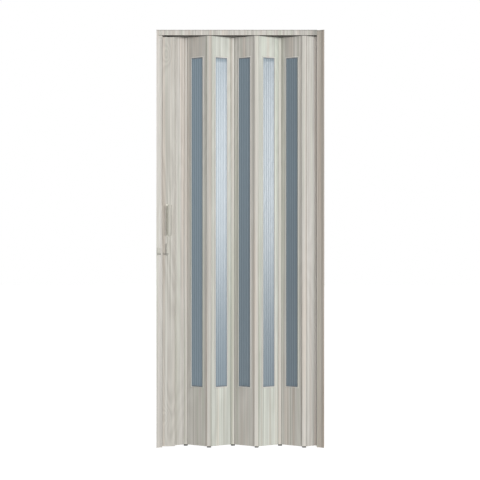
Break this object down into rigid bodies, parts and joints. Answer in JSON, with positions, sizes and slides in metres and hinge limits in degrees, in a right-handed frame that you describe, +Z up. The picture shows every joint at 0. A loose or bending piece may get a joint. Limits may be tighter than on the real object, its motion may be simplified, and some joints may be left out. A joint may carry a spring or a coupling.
{
  "type": "accordion door",
  "caption": "Closed accordion door: pleated wood-grain slats with tall ribbed panes, soft hinge strips, lead post with pull and hook latch, jambs and head rail.",
  "frame": {"origin": "on the wall face of the right jamb, at floor level, in the middle of the depth", "axes": "+Z up, +X from the leaf to the right jamb's wall, front of the door towards -Y"},
  "size_m": [0.815, 0.06, 2.03],
  "materials": {
    "frame_laminate": "pale grey wood-grain foil, satin",
    "post_laminate": "pale grey wood-grain foil, satin",
    "slat_laminate": "pale grey wood-grain foil, satin",
    "strip_vinyl": "soft vinyl with the same grain, satin",
    "ribbed_glass": "reeded translucent blue-grey sheet",
    "bead_plastic": "pale beading, satin",
    "foot_plastic": "black, matt",
    "glider_nylon": "black nylon, satin",
    "handle_plastic": "moulded, wood-grain foil, satin",
    "lock_plastic": "moulded, in the foil's tone, satin"
  },
  "bodies": {
    "root": {"header_rail": "frame_laminate", "header_end_cap_left": "frame_laminate", "header_end_cap_right": "frame_laminate", "left_jamb": "frame_laminate", "right_jamb": "frame_laminate", "lead_post": "post_laminate", "slat_1": "slat_laminate", "slat_2": "slat_laminate", "slat_3": "slat_laminate", "slat_4": "slat_laminate", "slat_5": "slat_laminate", "slat_6": "slat_laminate", "slat_7": "slat_laminate", "post_hinge": "strip_vinyl", "hinge_strip_1": "strip_vinyl", "hinge_strip_2": "strip_vinyl", "hinge_strip_3": "strip_vinyl", "hinge_strip_4": "strip_vinyl", "hinge_strip_5": "strip_vinyl", "hinge_strip_6": "strip_vinyl", "end_strip": "strip_vinyl", "glass_pane_1": "ribbed_glass", "glass_pane_2": "ribbed_glass", "glass_pane_3": "ribbed_glass", "glass_pane_4": "ribbed_glass", "glass_pane_5": "ribbed_glass", "glazing_bead_1": "bead_plastic", "glazing_bead_2": "bead_plastic", "glazing_bead_3": "bead_plastic", "glazing_bead_4": "bead_plastic", "glazing_bead_5": "bead_plastic", "foot_cap_1": "foot_plastic", "foot_cap_2": "foot_plastic", "foot_cap_3": "foot_plastic", "foot_cap_4": "foot_plastic", "foot_cap_5": "foot_plastic", "foot_cap_6": "foot_plastic", "glider_1": "glider_nylon", "glider_2": "glider_nylon", "glider_3": "glider_nylon", "glider_4": "glider_nylon", "handle": "handle_plastic", "lock_body": "lock_plastic", "lock_hook": "lock_plastic", "lock_keep": "lock_plastic"}
  },
  "joints": []
}
